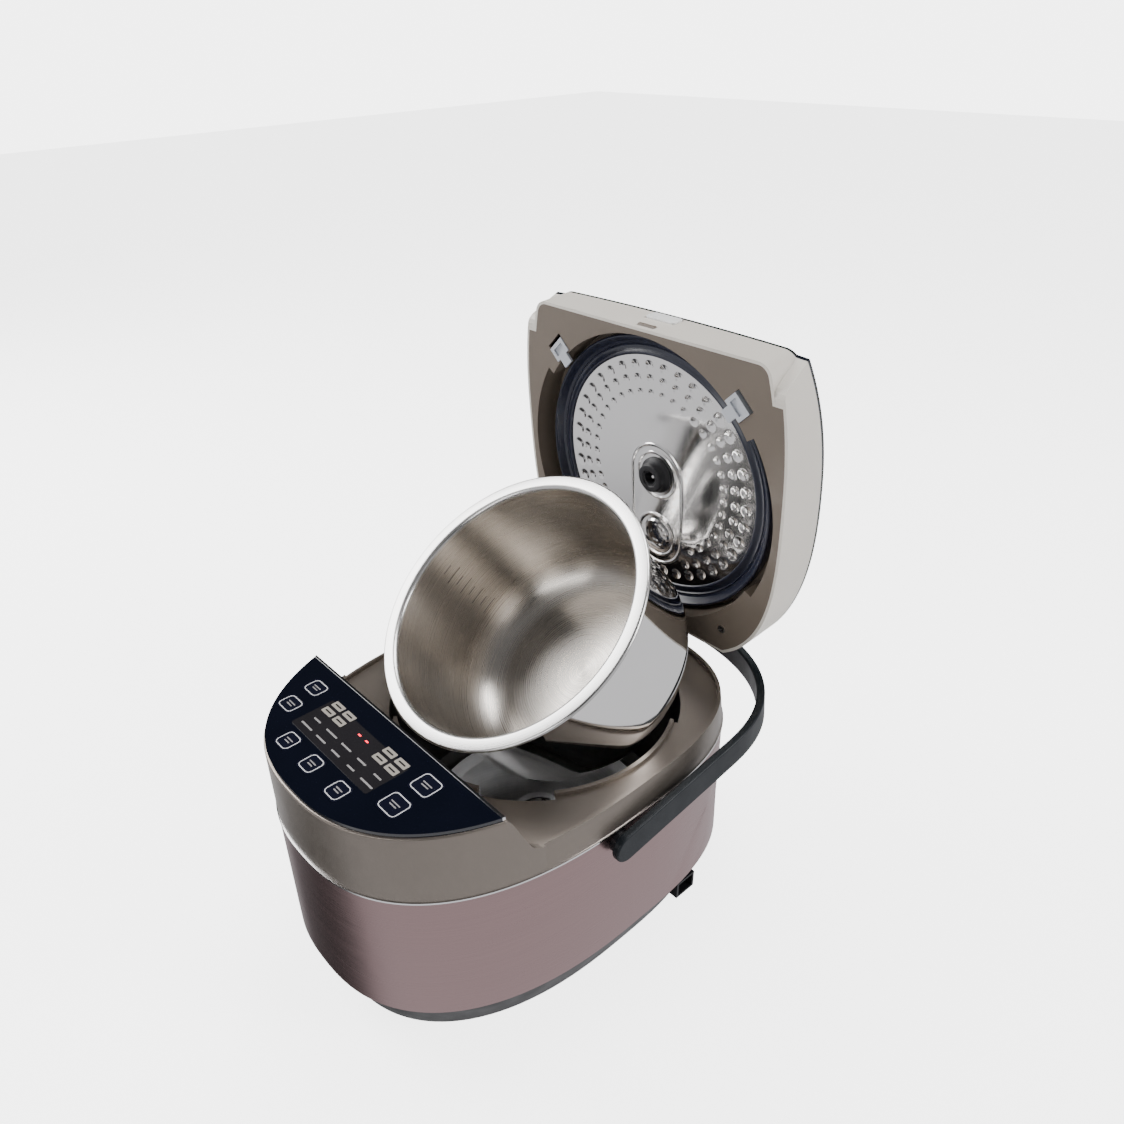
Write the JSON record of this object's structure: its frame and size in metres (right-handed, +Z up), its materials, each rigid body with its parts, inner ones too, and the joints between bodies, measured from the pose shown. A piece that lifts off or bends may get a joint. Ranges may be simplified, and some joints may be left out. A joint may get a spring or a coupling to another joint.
{
  "type": "rice cooker",
  "caption": "Household rice cooker with a hinged lid, a removable stainless pot leaning in its cavity, a half-moon control panel with keys and a swing-back carry handle.",
  "frame": {"origin": "on the table surface, under the middle of the body", "axes": "+Z up, -Y towards the control panel at the front, +X to the right of a person facing the panel"},
  "size_m": [0.287, 0.3943, 0.4531],
  "materials": {
    "housing": "champagne satin paint",
    "band": "rose brushed wrap",
    "black_plastic": "black moulded plastic",
    "handle": "slate black, fine texture",
    "lid_shell": "cream satin",
    "liner": "taupe satin",
    "lid_gloss": "black gloss",
    "panel": "black gloss panel",
    "keys": "black gloss keys",
    "bright_trim": "bright trim",
    "steel_mirror": "polished stainless",
    "steel": "stainless sheet",
    "aluminium": "cast aluminium",
    "silicone": "navy silicone",
    "rubber": "black rubber",
    "clip": "pale grey",
    "white": "white",
    "board": "circuit board",
    "brass": "brass pins"
  },
  "bodies": {
    "body": {"base_pan": "black_plastic", "base_screws": "steel", "rubber_feet": "rubber", "power_inlet": "black_plastic", "inlet_pins": "brass", "wrap_band": "band", "trim_ring": "bright_trim", "upper_housing": "housing", "latch_strike": "steel", "panel_glass": "panel", "panel_trim_strip": "bright_trim", "key_switches": "black_plastic", "control_board": "board", "display_module": "black_plastic", "board_posts": "black_plastic", "cavity_cup": "steel", "heating_plate": "aluminium", "plate_pads": "rubber", "heater_element": "aluminium", "heat_shield": "steel", "shield_tabs": "steel", "sensor_housing": "black_plastic", "sensor_spring": "steel", "power_board": "board", "power_board_parts": "black_plastic", "power_board_posts": "black_plastic", "thermal_fuse": "black_plastic", "handle_bosses": "black_plastic", "handle_pins": "steel", "hinge_pin": "steel"},
    "lid": {"lid_top_plate": "lid_gloss", "lid_shell": "lid_shell", "lid_liner": "liner", "seal_ring": "silicone", "inner_lid_plate": "steel_mirror", "plate_knob": "rubber", "steam_cover": "steel_mirror", "hinge_arm": "liner", "vent_tube": "liner", "vent_seat": "liner", "lid_foil": "steel", "lid_screws": "steel"},
    "handle": {"carry_handle": "handle"},
    "pot": {"inner_pot": "steel_mirror"},
    "release_button": {"release_button": "white"},
    "latch_hook": {"latch_hook": "liner"},
    "clip_left": {"clip_left": "clip"},
    "clip_right": {"clip_right": "clip"},
    "steam_cap": {"steam_cap": "lid_gloss"},
    "sensor_plunger": {"sensor_plunger": "steel"},
    "key_1": {"key_1": "keys"},
    "key_2": {"key_2": "keys"},
    "key_3": {"key_3": "keys"},
    "key_4": {"key_4": "keys"},
    "key_5": {"key_5": "keys"},
    "key_6": {"key_6": "keys"},
    "key_7": {"key_7": "keys"}
  },
  "joints": [
    {"name": "lid_hinge", "type": "hinge", "parent": "body", "child": "lid", "pos_m": [0, 0.158, 0.192], "axis": [-1, 0, 0], "range_deg": [-86.3, 0]},
    {"name": "pot_lift", "type": "slide", "parent": "body", "child": "pot", "axis": [-0.058, -0.592, 0.8039], "range_m": [0, 0.784]},
    {"name": "handle_swing", "type": "hinge", "parent": "body", "child": "handle", "pos_m": [0, -0.016, 0.147], "axis": [1, 0, 0], "range_deg": [0, 3]},
    {"name": "release_press", "type": "slide", "parent": "lid", "child": "release_button", "axis": [0, 0.0645, -0.9979], "range_m": [0, 0.003], "stiffness_N_per_m": 400},
    {"name": "latch_retract", "type": "slide", "parent": "lid", "child": "latch_hook", "axis": [0, 0.0645, -0.9979], "range_m": [0, 0.003]},
    {"name": "clip_left_slide", "type": "slide", "parent": "lid", "child": "clip_left", "axis": [-0.7071, -0.0456, 0.7056], "range_m": [0, 0.003], "stiffness_N_per_m": 300},
    {"name": "clip_right_slide", "type": "slide", "parent": "lid", "child": "clip_right", "axis": [0.7071, -0.0456, 0.7056], "range_m": [0, 0.003], "stiffness_N_per_m": 300},
    {"name": "steam_cap_pull", "type": "slide", "parent": "lid", "child": "steam_cap", "axis": [0, 0.9979, 0.0645], "range_m": [0, 0.03]},
    {"name": "sensor_press", "type": "slide", "parent": "body", "child": "sensor_plunger", "axis": [0, 0, -1], "range_m": [0, 0.003], "stiffness_N_per_m": 300, "deforming": ["sensor_spring"]},
    {"name": "key_1_press", "type": "slide", "parent": "body", "child": "key_1", "axis": [0, 0, -1], "range_m": [0, 0.0008], "stiffness_N_per_m": 500},
    {"name": "key_2_press", "type": "slide", "parent": "body", "child": "key_2", "axis": [0, 0, -1], "range_m": [0, 0.0008], "stiffness_N_per_m": 500},
    {"name": "key_3_press", "type": "slide", "parent": "body", "child": "key_3", "axis": [0, 0, -1], "range_m": [0, 0.0008], "stiffness_N_per_m": 500},
    {"name": "key_4_press", "type": "slide", "parent": "body", "child": "key_4", "axis": [0, 0, -1], "range_m": [0, 0.0008], "stiffness_N_per_m": 500},
    {"name": "key_5_press", "type": "slide", "parent": "body", "child": "key_5", "axis": [0, 0, -1], "range_m": [0, 0.0008], "stiffness_N_per_m": 500},
    {"name": "key_6_press", "type": "slide", "parent": "body", "child": "key_6", "axis": [0, 0, -1], "range_m": [0, 0.0008], "stiffness_N_per_m": 500},
    {"name": "key_7_press", "type": "slide", "parent": "body", "child": "key_7", "axis": [0, 0, -1], "range_m": [0, 0.0008], "stiffness_N_per_m": 500}
  ],
  "couplings": [
    {"joint": "pot_lift", "follows": "lid_hinge", "m_per_rad": -0.52},
    {"joint": "latch_retract", "follows": "release_press", "ratio": 1}
  ]
}
